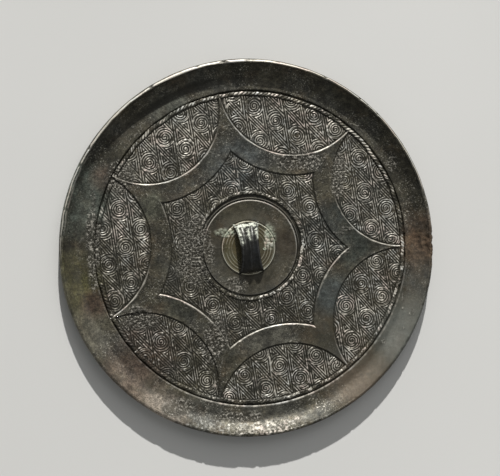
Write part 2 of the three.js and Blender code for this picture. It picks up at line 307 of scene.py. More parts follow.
def surface_masks(x, y):
    """Pale wear, green corrosion and brown crust at points of the back."""
    pale = places(x, y, PALE_PLACES, 11)
    specks = smooth(0.6, 0.8, noise(x / 2.3, y / 2.3, 21)) * smooth(0, 0.5, noise(x / 11, y / 11, 22))
    pale = np.clip(pale + 0.5 * specks, 0, 1)
    green = places(x, y, GREEN_PLACES, 12)
    brown = places(x, y, BROWN_PLACES, 13)
    return pale, green, brown


def surface_wear(x, y, pale):
    """Height of the corroded skin over a plain cast surface."""
    broad = 0.06 * layered(x, y, 16, 2, 31)
    medium = 0.035 * layered(x, y, 3, 3, 32)
    pit_field = smooth(0.15, 0.75, noise(x / 6, y / 6, 33))
    pits = -0.1 * pit_field * grains(x, y, 1.6, 34)
    crumbs = 0.34 * pale * grains(x, y, 1.5, 35)
    return broad + medium + pits + crumbs


def placed(name, data):
    """A new object in the scene."""
    made = bpy.data.objects.new(name, data)
    bpy.context.scene.collection.objects.link(made)
    return made


def build_mesh(name, points, faces, masks, materials, face_materials=None, sharp=50):
    """A mesh object from points in millimetres, faces grouped by corner count, and four masks a point."""
    mesh = bpy.data.meshes.new(name)
    corners = [np.asarray(block, dtype=np.int32) for block in faces]
    loops = np.concatenate([block.ravel() for block in corners])
    sizes = np.concatenate([np.full(len(block), block.shape[1], dtype=np.int32) for block in corners])
    starts = np.concatenate([[0], np.cumsum(sizes)[:-1]]).astype(np.int32)
    mesh.vertices.add(len(points))
    mesh.vertices.foreach_set("co", (np.asarray(points, dtype=np.float32) * MM).ravel())
    mesh.loops.add(len(loops))
    mesh.loops.foreach_set("vertex_index", loops)
    mesh.polygons.add(len(sizes))
    mesh.polygons.foreach_set("loop_start", starts)
    for material in materials:
        mesh.materials.append(material)
    if face_materials is not None:
        mesh.polygons.foreach_set("material_index", np.asarray(face_materials, dtype=np.int32))
    mesh.update(calc_edges=True)
    mesh.validate()
    attribute = mesh.color_attributes.new(name="masks", type="FLOAT_COLOR", domain="POINT")
    attribute.data.foreach_set("color", np.clip(np.stack(masks, -1), 0, 1).astype(np.float32).ravel())
    mesh.shade_smooth()
    mesh.set_sharp_from_angle(angle=radians(sharp))
    piece = placed(name, mesh)
    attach(piece, "root")
    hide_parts(NODE)
    return piece


def strip_faces(rows, columns, closed_rows=False):
    """Quads over a grid of points that closes on itself across, and along it where asked."""
    row = np.arange(rows if closed_rows else rows - 1)
    r, c = np.meshgrid(row, np.arange(columns), indexing="ij")
    r, c = r.ravel(), c.ravel()
    r_next, c_next = (r + 1) % rows, (c + 1) % columns
    corners = [(r, c), (r, c_next), (r_next, c_next), (r_next, c)]
    return np.stack([a * columns + b for a, b in corners], -1)


def end_caps(rows, columns):
    """One face on each end of a grid that closes on itself across."""
    first = np.arange(columns)
    return [first[None, :], ((rows - 1) * columns + first)[None, ::-1]]


def lathe(profile, sides, centres):
    """A turned solid's points and faces. Its profile goes from the axis outwards below, up and back."""
    angle = np.arange(sides) * 2 * pi / sides
    inner = profile[1:-1]
    x = inner[:, :1] * np.cos(angle) + centres[1:-1, :1]
    y = inner[:, :1] * np.sin(angle) + centres[1:-1, 1:]
    z = np.repeat(inner[:, 1:], sides, axis=1)
    ring = np.stack([x, y, z], -1).reshape(-1, 3)
    points = np.vstack([ring, [0, 0, profile[0, 1]], [0, 0, profile[-1, 1]]])
    quads = strip_faces(len(inner), sides)
    column = np.arange(sides)
    after = (column + 1) % sides
    top_row = (len(inner) - 1) * sides
    below = np.stack([column * 0 + len(ring), after, column], -1)
    above = np.stack([column * 0 + len(ring) + 1, top_row + column, top_row + after], -1)
    return points, [quads, below, above]


def arc_points(centre, radius, start, end, steps):
    """Points of an arc in a profile, angles in degrees from outwards, towards up."""
    angle = np.radians(np.linspace(start, end, steps))
    return [(centre[0] + radius * cos(a), centre[1] + radius * sin(a)) for a in angle]


def disc_profile():
    """The disc's profile, each point's share of the shift to the ground's centre, and the face's rows."""
    profile = [(0, 0)] + [(r, 0) for r in (30, 60, 80, 87)]
    face_rows = len(profile)
    profile += arc_points((RADIUS - FACE_CHAMFER, FACE_CHAMFER), FACE_CHAMFER, -90, 0, 5)
    profile += [(RADIUS, z) for z in np.linspace(FACE_CHAMFER, WALL_TOP, 13)[1:-1]]
    profile += [(RADIUS - inset, WALL_TOP + rise) for inset, rise in WORN_BEVEL]
    profile += [(CREST_RADIUS + 0.12, LIP_HEIGHT - 0.03), (CREST_RADIUS - 0.15, LIP_HEIGHT - 0.08)]
    rise = LIP_HEIGHT - PLAIN_ZONE_HEIGHT
    for share in np.linspace(0.96, 0, 32):
        profile.append((RIM_FOOT_RADIUS + RIM_WIDTH * share, PLAIN_ZONE_HEIGHT + rise * share**2))
    shifted = len(profile)
    profile += [(r, PLAIN_ZONE_HEIGHT) for r in np.linspace(RIM_FOOT_RADIUS, STEP_RADIUS, 12)[1:]]
    profile += [(STEP_RADIUS - 0.15, PLAIN_ZONE_HEIGHT - 0.15), (STEP_RADIUS - 0.2, GROUND_HEIGHT - 0.1)]
    profile += [(STEP_RADIUS - 0.6, UNDER_RELIEF), (0, UNDER_RELIEF)]
    profile = np.array(profile)
    share = np.zeros(len(profile))
    share[shifted:] = np.clip((RIM_FOOT_RADIUS - profile[shifted:, 0]) / (PLAIN_ZONE_WIDTH * 0.8), 0, 1)
    return profile, share, face_rows


def disc_zones(z, radius, angle):
    """How far each point is on the wall, on top, near the crest, in a nick and in the rim's gleam."""
    on_wall = smooth(RADIUS - 1.3, RADIUS - 0.1, radius) * (z > FACE_CHAMFER / 2)
    on_top = smooth(UNDER_RELIEF, GROUND_HEIGHT, z) * (1 - on_wall)
    near_crest = smooth(LIP_HEIGHT - 1.6, LIP_HEIGHT - 0.2, z)
    nicks = smooth(0.25, 0.7, noise(angle * RADIUS / 2.2, z / 3, 42))
    brightest = bell(angle - BOTTOM, 0.16) + 0.42 * bell(angle + 1.8, 0.2)
    gleam = smooth(82, 85.5, radius) * np.clip(brightest, 0, 1) * on_top
    return on_wall, on_top, near_crest, nicks, gleam


def worn_disc(x, y, z, radius, angle, pale, green, zones):
    """The disc's worn points: skin, nicks, a corroded edge, the lip's flaw and the gleam's pits."""
    on_wall, on_top, near_crest, nicks, gleam = zones
    place = angle * RADIUS
    wear = surface_wear(x, y, 0.6 * pale + 0.7 * green * smooth(76, 84, radius))
    inwards = on_wall * (0.1 * layered(place, z, 5, 4, 41) - 0.1) - 0.22 * near_crest * nicks
    corroded = bell(angle - 0.04, 0.09) * (z > 0.4)
    bumps = 0.75 * corroded * (grains(place, z, 2.2, 43) - 1)
    scale = 1 + (inwards + bumps) / np.maximum(radius, 1)
    x, y = x * scale, y * scale
    z = z + on_top * wear - 0.18 * near_crest * nicks
    outwards = np.clip((radius - CREST_RADIUS) / LIP_BEVEL_WIDTH, 0, 1)
    z += 0.5 * towards(angle, BOTTOM, 0.55) * (outwards * smooth(WALL_TOP - 0.05, WALL_TOP, z))
    z -= 0.7 * (1 - smooth(0.5, 1.1, from_spot(x, y, LIP_FLAW))) * (z > WALL_TOP)
    losses = smooth(0.5, 0.9, noise(x / 2.6, y / 2.6, 44))
    z -= 0.35 * smooth(0.35, 0.8, pale) * on_top * losses * near_crest
    return x, y, z + gleam * (0.3 * grains(x, y, 1.7, 45) - 0.15)


def lip_crest(radius, angle, zones):
    """The lip's crest mask: worn bright lines with a painted highlight on the upper side, and painted shade
    on the upper lip and at the slope's foot.
    """
    _, on_top, near_crest, nicks, _ = zones
    place = angle * RADIUS
    upper = smooth(-0.05, 0.35, np.sin(angle - 0.1))
    broad_line = towards(angle, 1.98, 0.62) * (0.75 + 0.5 * noise_along(place, 7, 50))
    line_radius = LIP_LINE_RADIUS - 0.4 * broad_line + 0.15 * noise_along(place, 3, 47)
    twofold = towards(angle, 2.82, 0.24)
    line_width = 0.3 + 0.5 * broad_line * (1 - 0.7 * twofold)
    # The lip line lies only on the upper side, which faces the key: worn metal and a painted highlight.
    lip_line = bell(radius - line_radius, line_width) * near_crest * upper
    inner_line = 0.8 * bell(radius - line_radius + 1.3, 0.38) * near_crest * twofold
    # Painted shade at the foot of the upper rim's slope, where the lip's shadow falls, strongest at the
    # upper left.
    painted_foot_shade = smooth(78.2, 79.2, radius) * (1 - smooth(81.5, 84.5, radius)) * upper * on_top
    painted_foot_shade = painted_foot_shade * (0.25 + 0.75 * towards(angle, 2.05, 0.4))
    # Painted shade on the upper lip near its crest, where its slope faces away from the key.
    painted_lip_shade = smooth(87.2, 88.2, radius) * near_crest * upper
    return 0.5 - 0.4 * painted_foot_shade - 0.26 * painted_lip_shade + 0.85 * (lip_line + inner_line) * (1 - 0.6 * nicks)


def disc_crest(x, y, z, radius, angle, zones):
    """The disc's crest mask: lip, a painted gleam low on the rim, painted highlights on the rim's sides,
    its outer slope and the plain zone's edge, and painted shade on the outermost lip.
    """
    _, on_top, near_crest, _, gleam = zones
    # Painted glints that, with the gleam zone, paint a highlight low on the rim.
    painted_sparkle = 0.5 * noise(x / 1, y / 0.8, 46) + 0.5 * noise(x / 0.5, y / 0.5, 48)
    crest = lip_crest(radius, angle, zones) + gleam * (0.6 * painted_sparkle + 0.07)
    # Painted shade on the outermost lip towards the lower right, where the bevel faces away from the key.
    outermost = near_crest * smooth(88.6, 89.2, radius)
    crest -= 0.25 * outermost * towards(angle, LOWER_RIGHT + 0.05, 0.45)
    # Painted glints along the lip's edge towards the bottom.
    painted_edge_sparkle = painted_sparkle * near_crest * smooth(88, 88.6, radius)
    crest += 0.22 * painted_edge_sparkle * towards(angle, BOTTOM, 0.55)
    # Painted highlight on the rim's slope at the sides of its lower half, which face the key.
    along_sides = smooth(0.35, 0.9, np.abs(np.cos(angle))) * smooth(-0.3, 0.1, -np.sin(angle))
    crest += 0.035 * along_sides * smooth(78, 82, radius)
    # Painted highlight on the rim's outer slope towards the lower right.
    outer_slope = smooth(82.5, 86.5, radius) * (1 - smooth(87.8, 88.8, radius)) * on_top
    crest += 0.02 * outer_slope * towards(angle, LOWER_RIGHT, 0.55)
    # Painted highlight along the plain zone's step edge on the lower half, where it faces the key, broken
    # in places.
    from_step = from_point(x, y, GROUND_CENTRE) - STEP_RADIUS
    step_edge = np.abs(from_step - 0.1) < 0.3
    step_edge = step_edge * smooth(GROUND_HEIGHT, PLAIN_ZONE_HEIGHT, z) * smooth(-0.2, 0.7, -np.sin(angle))
    broken_edge = 0.35 + 0.65 * smooth(-0.5, 0.4, noise_along(angle * RADIUS, 1.2, 49))
    lit = 1 - 0.8 * towards(angle, LOWER_LEFT) - 0.5 * towards(angle, LOWER_RIGHT)
    return crest + 0.32 * step_edge * broken_edge * lit


def mirror_disc(bronze, face_metal):
    """The disc: reflecting face, wall, lip, hollow rim, plain zone and the hidden plate."""
    profile, share, face_rows = disc_profile()
    points, faces = lathe(profile, DISC_SIDES, share[:, None] * GROUND_CENTRE)
    x, y, z = points.T
    radius = np.hypot(x, y)
    angle = np.arctan2(y, x)
    pale, green, brown = surface_masks(x, y)
    zones = disc_zones(z, radius, angle)
    x, y, z = worn_disc(x, y, z, radius, angle, pale, green, zones)
    # The gleam zone also gets pale grit, part of its painted highlight.
    masks = [disc_crest(x, y, z, radius, angle, zones), pale + 0.25 * zones[-1], green, brown]
    sizes = [len(block) for block in faces]
    kinds = np.zeros(sum(sizes), dtype=np.int32)
    kinds[: (face_rows - 2) * DISC_SIDES] = 1
    kinds[sizes[0] : sizes[0] + sizes[1]] = 1
    return build_mesh("mirror_disc", np.stack([x, y, z], -1), faces, masks, [bronze, face_metal], kinds)


def linked_arcs():
    """Each arc's middle and half angle, reach, centre, and the radius of its hollow side."""
    found = []
    for i, degrees in enumerate(ARC_POINT_DEGREES):
        following = ARC_POINT_DEGREES[(i + 1) % len(ARC_POINT_DEGREES)]
        start = radians(degrees)
        end = radians(following + (360 if following < degrees else 0))
        half = (end - start) / 2
        reach = (ARC_BOTTOM_RADIUS - ARC_POINT_WIDTH / 2) / (1 - sin(half))
        middle = start + half
        centre = ARC_CENTRE + reach * np.array([cos(middle), sin(middle)])
        found.append((middle, half, reach, centre, reach - ARC_BOTTOM_RADIUS))
    return found


ARCS = linked_arcs()


def arc_band(bronze, number):
    """One arc of the band, dished on top, mitred where it meets its neighbours."""
    middle, half, reach, centre, hollow = ARCS[number]
    top = GROUND_HEIGHT + ARC_RISE
    side = [(0, z, 0) for z in np.linspace(RELIEF_FOOT, top - 0.42, 4)]
    side += [(0.14, top - 0.25, 0), (0.3, top - 0.1, 0), (0.46, top - 0.02, 0)]
    across = list(side)
    for offset in np.linspace(0.65, ARC_BAND_WIDTH - 0.65, 24):
        across.append((offset, top, ARC_DISH * (1 - (1 - 2 * offset / ARC_BAND_WIDTH) ** 2)))
    across += [(ARC_BAND_WIDTH - offset, z, 0) for offset, z, _ in side[::-1]]
    along = np.linspace(-1, 1, ARC_STATIONS)
    distance = reach * sin(half)
    rows = []
    fade = 1 - 0.5 * np.abs(along) ** 6
    for offset, height, dish in across:
        rho = hollow + offset
        opening = pi / 2 - half - acos(min(1, distance / rho)) + 0.04 / rho
        angle = middle + pi + opening * along
        level = height - dish * fade
        rows.append(np.stack([centre[0] + rho * np.cos(angle), centre[1] + rho * np.sin(angle), level], -1))
    x, y, z = np.stack(rows, 1).reshape(-1, 3).T
    pale, green, brown = surface_masks(x, y)
    free = smooth(top - 0.7, top - 0.4, z)
    offsets = np.array([offset for offset, _, _ in across])
    edge = np.tile(np.minimum(offsets, ARC_BAND_WIDTH - offsets), ARC_STATIONS)
    nicks = smooth(0.1, 0.7, noise(x / 1.3, y / 1.3, 52)) * (1 - smooth(0.2, 0.9, edge))
    z = z + free * surface_wear(x, y, pale) - 0.2 * free * nicks
    # A little wear on every edge, and a painted highlight on the edges that face the key.
    outward = np.tile(np.where(offsets < ARC_BAND_WIDTH / 2, -1, 1), ARC_STATIONS)
    upwards = outward * (y - centre[1]) / from_point(x, y, centre)
    edge_wear_and_highlight = 0.02 + (0.3 + 0.16 * noise(x / 2, y / 2, 53)) * smooth(0, 0.8, upwards)
    wear_reach = edge - 0.28 * noise(x / 1.8, y / 1.8, 54)
    crest = 0.48 + edge_wear_and_highlight * (1 - smooth(0.4, 0.8, wear_reach)) * free - 0.3 * (1 - free)
    faces = strip_faces(ARC_STATIONS, len(across))[:, ::-1]
    faces = [faces, *end_caps(ARC_STATIONS, len(across))]
    masks = [crest, pale, green, brown]
    return build_mesh(f"arc_band_{number + 1}", np.stack([x, y, z], -1), faces, masks, [bronze])


def rope_ring(bronze, name, radius, centre, width, least_worn, right_shine, seed):
    """A ring of twisted strands, broken and blunted where it is worn."""
    strands = round(2 * pi * radius / STRAND_PITCH)
    stations = strands * ROPE_STEPS
    half = width / 2
    foot = GROUND_HEIGHT - 0.15
    cross = np.linspace(-1, 1, 11)
    angle = np.arange(stations) * 2 * pi / stations
    ring, side = np.meshgrid(angle, cross, indexing="ij")
    place = radius * ring
    phase = strands * ring / (2 * pi) + 0.6 * side + 0.25 * noise_along(place, 5, seed + 1)
    strand = np.abs(np.sin(pi * phase)) ** 0.8
    x0 = centre[0] + radius * np.cos(ring)
    y0 = centre[1] + radius * np.sin(ring)
    pale, green, brown = surface_masks(x0, y0)
    grainy = 0.38 * (1 - smooth(0.1, 0.5, np.sin(ring)))
    blunt = np.clip(least_worn + grainy + 0.7 * layered(x0, y0, 8, 3, seed) + 0.8 * pale, 0, 0.95)
    lump = grains(place, half * side + 40, 1.25, seed + 3)
    relief = (1 - blunt) * (0.35 + 0.65 * strand) + blunt * (0.25 + 0.6 * lump)
    dome = np.sqrt(np.clip(1 - side**2, 0, 1))
    height = foot + 0.25 + (ROPE_RISE - 0.1) * dome * relief
    height = np.where(np.abs(side) == 1, foot, height)
    wobble = 0.28 * noise_along(place, 6, seed + 5) + 0.2 * noise_along(place, 1.9, seed + 6)
    away = radius + half * side + wobble
    x = centre[0] + away * np.cos(ring)
    y = centre[1] + away * np.sin(ring)
    top = np.stack([x, y, height], -1)
    bottom = np.stack([x[:, [-1, 0]], y[:, [-1, 0]], np.full((stations, 2), RELIEF_FOOT)], -1)
    points = np.concatenate([top, bottom], 1)
    shine = 0.62 + 0.45 * noise_along(place, 2.6, seed + 7) + 0.2 * noise_along(place, 0.9, seed + 8)
    # Painted highlight on the flank that faces the key and painted shade on the other flank, less so on the
    # upper half; more painted highlight towards the lower right.
    least_lit = np.where(np.sin(ring) > 0, 0.65, 0.3)
    lit = least_lit + (1 - least_lit) * smooth(-0.5, 0.4, side * np.sin(ring))
    beads = 0.8 * towards(ring, LOWER_LEFT) * smooth(0.45, 0.75, noise_along(place, 1.4, seed + 9))
    bright = 1 - 0.45 * towards(ring, LOWER_LEFT) + right_shine * towards(ring, LOWER_RIGHT, 0.8)
    shine = shine * bright * lit + beads
    crest = np.pad(0.08 + 1.45 * relief**1.7 * dome**2 * shine, ((0, 0), (0, 2)))
    grown = [np.pad(mask, ((0, 0), (0, 2)), mode="edge") for mask in (pale, green, brown)]
    faces = strip_faces(stations, points.shape[1], True)[:, ::-1]
    masks = [crest.ravel(), *[mask.ravel() for mask in grown]]
    return build_mesh(name, points.reshape(-1, 3), [faces], masks, [bronze])


def stamp_of(x, y, across, down):
    """Phase and stagger of the stamp that made each point's pattern."""
    from_centre = from_point(x, y, ARC_CENTRE)
    right = across > (RIGHT_COLUMNS[0] + LEFT_COLUMNS[0]) / 2
    lower_right = right & (down > 0) & (across < LOWER_RIGHT_END)
    quarter = np.where(right, 2 + lower_right, down > 0)
    phase, stagger = (np.array(values)[quarter] for values in zip(*STAR_STAMPS))
    for (start, step), (_, _, _, centre, hollow) in zip(FIELD_STAMPS, ARCS):
        inside = (from_point(x, y, centre) < hollow + ARC_BAND_WIDTH / 2) & (from_centre > 40)
        phase[inside], stagger[inside] = start, step
    return phase, stagger


def pattern_height(x, y):
    """The whorl ground's raised lines at each point, from 0 in a groove to 1 on a line."""
    warp_x = x + 0.25 * noise(x / 9, y / 9, 61)
    warp_y = y + 0.25 * noise(x / 9, y / 9, 62)
    across, upward = turned(warp_x, warp_y, -PATTERN_TURN)
    down = -upward
    right = across > (RIGHT_COLUMNS[0] + LEFT_COLUMNS[0]) / 2
    first = np.where(right, RIGHT_COLUMNS[0], LEFT_COLUMNS[0] + LEFT_COLUMNS[1])
    pitch = np.where(right, RIGHT_COLUMNS[1], LEFT_COLUMNS[1])
    column = np.round((across - first) / pitch)
    column = np.where(right, np.maximum(column, 0), column)
    aside = across - first - column * pitch
    start, step = stamp_of(x, y, across, down)
    phase = start + step * column
    cell = np.floor((down - phase) / WHORL_PITCH)
    along = down - phase - cell * WHORL_PITCH
    lower = along > WHORL_PITCH / 2
    from_whorl = np.where(lower, along - WHORL_PITCH, along)
    whorl = cell + lower
    shift_x = 0.5 * (hashed(column, whorl, 63) - 0.5)
    shift_y = 0.7 * (hashed(column, whorl, 64) - 0.5)
    reach = np.hypot(aside - shift_x, from_whorl - shift_y)
    turn = np.arctan2(from_whorl - shift_y, aside - shift_x) / (2 * pi) + hashed(column, whorl, 65)
    spiral = 0.5 + 0.5 * np.cos(2 * pi * (reach / LINE_PITCH - turn))
    centre_dot = 1 - smooth(0.15, 0.5, reach)
    spiral = np.maximum(spiral, centre_dot)

    lean = asin(2 * (WHORL_RADIUS + LINE_PITCH / 2) / WHORL_PITCH)
    to_diagonal = np.abs(aside * cos(lean) - (along - WHORL_PITCH / 2) * sin(lean))
    to_side = pitch / 2 - np.abs(aside)
    pair = LINE_PITCH / 2
    nearest = np.minimum(np.minimum(to_side - pair, reach - WHORL_RADIUS), to_diagonal - pair)
    between = 0.5 + 0.5 * np.cos(2 * pi * nearest / LINE_PITCH)
    inside = smooth(-0.3, 0, WHORL_RADIUS - LINE_PITCH / 2 - reach)
    return inside * spiral + (1 - inside) * between


def from_relief(x, y):
    """Distance from each point of the ground to the nearest edge of the band or the rope."""
    angle = np.arctan2(y - ARC_CENTRE[1], x - ARC_CENTRE[0])
    from_ground_centre = from_point(x, y, GROUND_CENTRE)
    nearest = np.abs(OUTER_ROPE_RADIUS - ROPE_WIDTH / 2 - from_ground_centre) + 0.35
    for middle, half, _, centre, hollow in ARCS:
        turned = np.abs((angle - middle + pi) % (2 * pi) - pi) < half + 0.03
        away = from_point(x, y, centre)
        to_edge = np.minimum(np.abs(away - hollow), np.abs(away - hollow - ARC_BAND_WIDTH))
        nearest = np.where(turned, np.minimum(nearest, to_edge), nearest)
    return nearest


def ground_surface(x, y):
    """Height and masks of the ground: whorls, blunted where worn, and corrosion."""
    lines = pattern_height(x, y)
    pale, green, brown = surface_masks(x, y)
    worn = np.clip(pale + 0.35 * layered(x, y, 13, 3, 71), 0, 1)
    sharpness = (1 - 0.85 * worn) * (0.92 + 0.22 * noise(x / 3.1, y / 3.1, 72))
    grit = grains(x, y, 1, 73)
    broken = smooth(0.55, 0.85, noise(x / 1.5, y / 1.5, 74))
    lumps = smooth(0.5, 0.9, grains(x, y, 2.1, 75) * (0.5 + 0.5 * noise(x / 5, y / 5, 76)))
    # Next to the band and the rope the lines are lower and the crest mask darker: a dip, and painted shade
    # along the edges.
    open_ground = smooth(0.2, 1, from_relief(x, y))
    crumbled = noise(x / 0.75, y / 0.75, 79)
    relief = lines**1.15 * sharpness * (1 - 0.6 * broken)
    relief = relief * (0.3 + 0.7 * open_ground) * (0.95 + 0.2 * crumbled)
    height = GROUND_HEIGHT - 0.05 + LINE_RISE * relief - 0.12 * (1 - open_ground) + 0.03 * crumbled
    height += worn * (0.04 + 0.24 * grit) + 0.14 * lumps * (1 - worn)
    height += 0.05 * layered(x, y, 12, 2, 77)
    in_star = smooth(52, 40, from_point(x, y, ARC_CENTRE))
    low_left = smooth(0.5, 0.9, -(x + y) / np.maximum(np.hypot(x, y), 1) / sqrt(2))
    low_right = smooth(-10, 60, x - 0.5 * y)
    rubbed = 0.96 - 0.15 * in_star - 0.15 * low_left - 0.05 * low_right
    rubbed += 0.24 * layered(x, y, 22, 3, 78)
    # Painted glints on the raised lines: a highlight put into the crest mask.
    painted_glints = smooth(0.35, 0.85, noise(x / 1.1, y / 1.1, 80)) * relief
    crest = 0.04 + rubbed * (0.96 * relief + 0.6 * worn * grit + 0.35 * lumps) + 0.45 * painted_glints
    return height, [np.clip(crest, 0, 1), pale, green, brown]


def slab(bronze, name, cells, x, y, height, masks):
    """A closed slab over marked cells of a grid: fine on top, with a few long faces below."""
    rows, columns = cells.shape
    padded = np.pad(cells, 1)
    around = [padded[r : r + rows + 1, c : c + columns + 1] for r in (0, 1) for c in (0, 1)]
    touched = np.logical_or.reduce(around)
    border = touched & ~np.logical_and.reduce(around)
    top_index = np.full(touched.shape, -1)
    top_index[touched] = np.arange(touched.sum())
    low_index = np.full(touched.shape, -1)
    low_index[border] = touched.sum() + np.arange(border.sum())
    top = np.stack([x[touched], y[touched], height[touched]], -1)
    low = np.stack([x[border], y[border], np.full(border.sum(), RELIEF_FOOT)], -1)

    r, c = np.nonzero(cells)
    corner = [(r, c), (r, c + 1), (r + 1, c + 1), (r + 1, c)]
    quads = np.stack([top_index[a, b] for a, b in corner], -1)
    walls = []
    for k, (dr, dc) in enumerate([(-1, 0), (0, 1), (1, 0), (0, -1)]):
        open_side = ~padded[r + 1 + dr, c + 1 + dc]
        a, b = (tuple(index[open_side] for index in corner[i % 4]) for i in (k, k + 1))
        walls.append(np.stack([top_index[b], top_index[a], low_index[a], low_index[b]], -1))
    below = []
    for row in range(rows):
        edges = np.flatnonzero(np.diff(padded[row + 1].astype(np.int8)))
        for start, end in zip(edges[::2], edges[1::2]):
            span = np.arange(start, end + 1)
            upper = [low_index[row + 1, i] for i in span if border[row + 1, i]]
            lower = [low_index[row, i] for i in span[::-1] if border[row, i]]
            below.append(np.array([upper + lower]))
    all_masks = [np.concatenate([mask[touched], mask[border] * 0]) for mask in masks]
    faces = [quads, *walls, *below]
    return build_mesh(name, np.vstack([top, low]), faces, all_masks, [bronze], sharp=80)


def whorl_ground(bronze):
    """The ground in eight slabs: one in each arc's hollow, and the star inside the band."""
    steps = int(2 * STEP_RADIUS / GRID_STEP)
    line = (np.arange(steps + 1) - steps / 2) * GRID_STEP
    middles = (line[:-1] + line[1:]) / 2
    x, y = turned(*np.meshgrid(line, line), PATTERN_TURN)
    cx, cy = turned(*np.meshgrid(middles, middles), PATTERN_TURN)
    height, masks = ground_surface(x, y)
    tuck = 0.4  # how far a slab runs under the band and the ropes that hide its edge
    within = from_point(cx, cy, GROUND_CENTRE) < ARC_POINT_RADIUS + tuck
    from_rope = from_point(cx, cy, INNER_ROPE_CENTRE)
    star = within & (from_rope > INNER_ROPE_RADIUS + INNER_ROPE_WIDTH / 2 - tuck)
    for number, (_, _, _, centre, hollow) in enumerate(ARCS):
        away = from_point(cx, cy, centre)
        field = within & (away < hollow + tuck)
        slab(bronze, f"whorl_ground_{number + 1}", field, x, y, height, masks)
        star &= away > hollow + ARC_BAND_WIDTH - tuck
    slab(bronze, "whorl_ground_star", star, x, y, height, masks)


def centre_profile():
    """Profile of the ring band, grooves and seat, and its rows up to the rope's edge and the seat's."""
    half = (RING_BAND_OUTER - RING_BAND_INNER) / 2
    groove = CENTRE_GROOVE_HEIGHT
    profile = [(0, RELIEF_FOOT), (INNER_ROPE_RADIUS, RELIEF_FOOT), (INNER_ROPE_RADIUS, groove)]
    under_rope = len(profile)
    profile += [(SCRIBED_RADIUS + offset, groove + rise) for offset, rise in SCRIBED_SHAPE]
    profile.append((RING_BAND_OUTER + 0.25, groove))
    for step in (0.3, 0.6, 0.9):
        profile.append((RING_BAND_OUTER + 0.2 - 0.2 * step, groove + (RING_BAND_TOP - groove) * step))
    for share in np.linspace(0.98, -0.98, 26):
        profile.append((RING_BAND_MIDDLE + half * share, RING_BAND_TOP - RING_BAND_DISH * (1 - share**2)))
    profile += [(RING_BAND_INNER, RING_BAND_TOP - 0.2), (RING_BAND_INNER - 0.08, SEAT_HEIGHT - 0.2)]
    profile += [(SEAT_RADIUS + 0.12, SEAT_HEIGHT - 0.25)]
    seat_rows = len(profile) - 1
    profile += [(SEAT_RADIUS, SEAT_HEIGHT), (SEAT_RADIUS - 0.12, SEAT_EDGE_TOP - 0.12)]
    profile += [(SEAT_RADIUS - 0.28, SEAT_EDGE_TOP), (SEAT_INSIDE + 0.1, SEAT_EDGE_TOP)]
    profile.append((SEAT_INSIDE - 0.1, SEAT_HEIGHT))
    for radius in np.arange(SEAT_INSIDE - 0.3, 3, -0.24):
        lines = 0.14 * max(0, cos(2 * pi * radius / 1.35)) * (radius > 7)
        profile.append((radius, SEAT_HEIGHT + lines))
    profile += [(1.5, SEAT_HEIGHT), (0, SEAT_HEIGHT)]
    return np.array(profile), under_rope, seat_rows


def ring_band_and_seat(bronze, seat_bronze):
    """The plain ring band with its grooves, and the round seat with its raised lines."""
    profile, under_rope, seat_rows = centre_profile()
    share = np.clip((profile[:, 0] - RING_BAND_INNER) / (RING_BAND_OUTER - RING_BAND_INNER), 0, 1)
    centres = share[:, None] * RING_BAND_CENTRE
    centres[:under_rope] = INNER_ROPE_CENTRE
    points, faces = lathe(profile, CENTRE_SIDES, centres)
    x, y, z = points.T
    radius = np.concatenate([np.repeat(profile[1:-1, 0], CENTRE_SIDES), [0, 0]])
    pale, green, brown = surface_masks(x, y)
    free = smooth(RELIEF_FOOT, CENTRE_GROOVE_HEIGHT, z)
    z = z + free * surface_wear(x, y, np.clip(pale + green, 0, 1)) * 0.9
    ring = (radius > RING_BAND_INNER) & (radius < RING_BAND_OUTER + 0.05)
    to_edge = np.where(ring, np.minimum(radius - RING_BAND_INNER, RING_BAND_OUTER - radius), 9)
    on_edges = (1 - smooth(0.1, 0.6, to_edge)) * (z > RING_BAND_TOP - 0.4) * (radius > RING_BAND_MIDDLE)
    on_edges = np.maximum(on_edges, 0.7 * (np.abs(radius - SCRIBED_RADIUS) < 0.2))
    # The band's edge lines are brighter on its upper side, which faces the key: worn edges with a painted
    # highlight.
    on_edges = on_edges * (0.35 + 0.65 * smooth(-0.3, 0.4, np.sin(np.arctan2(y, x))))
    seat_edge = smooth(SEAT_HEIGHT + 0.1, SEAT_EDGE_TOP, z) * (radius < SEAT_RADIUS + 0.05)
    groove_dirt = smooth(0, 0.5, SEAT_HEIGHT - 0.4 - z)
    seat_lines = smooth(SEAT_HEIGHT + 0.02, SEAT_HEIGHT + 0.14, z) * (radius < SEAT_INSIDE - 0.2)
    crest = 0.46 + 0.45 * np.maximum(on_edges, seat_edge) + 0.2 * seat_lines - 0.4 * groove_dirt
    # Painted shadow: darker just below the knob's lower foot.
    crest -= 0.22 * (1 - smooth(0.6, 1.2, from_spot(x, y, PAINTED_KNOB_SHADOW)))
    kinds = np.zeros(sum(len(block) for block in faces), dtype=np.int32)
    kinds[seat_rows * CENTRE_SIDES : len(faces[0])] = 1
    kinds[len(faces[0]) + CENTRE_SIDES :] = 1
    brown = np.maximum(brown, 0.75 * (radius > SEAT_RADIUS) * (radius < RING_BAND_OUTER))
    masks = [crest, pale, 0.7 * green, brown]
    points = np.stack([x, y, z], -1)
    return build_mesh("ring_band_and_seat", points, faces, masks, [bronze, seat_bronze], kinds)


def passage_ceiling(place):
    """Height of the cord passage's arch above the seat, at a place along the strap."""
    share = np.clip(np.abs(place) / (PASSAGE_WIDTH / 2), 0, 1)
    return PASSAGE_HEIGHT * (1 - share**PASSAGE_SQUARENESS) ** (1 / PASSAGE_SQUARENESS)


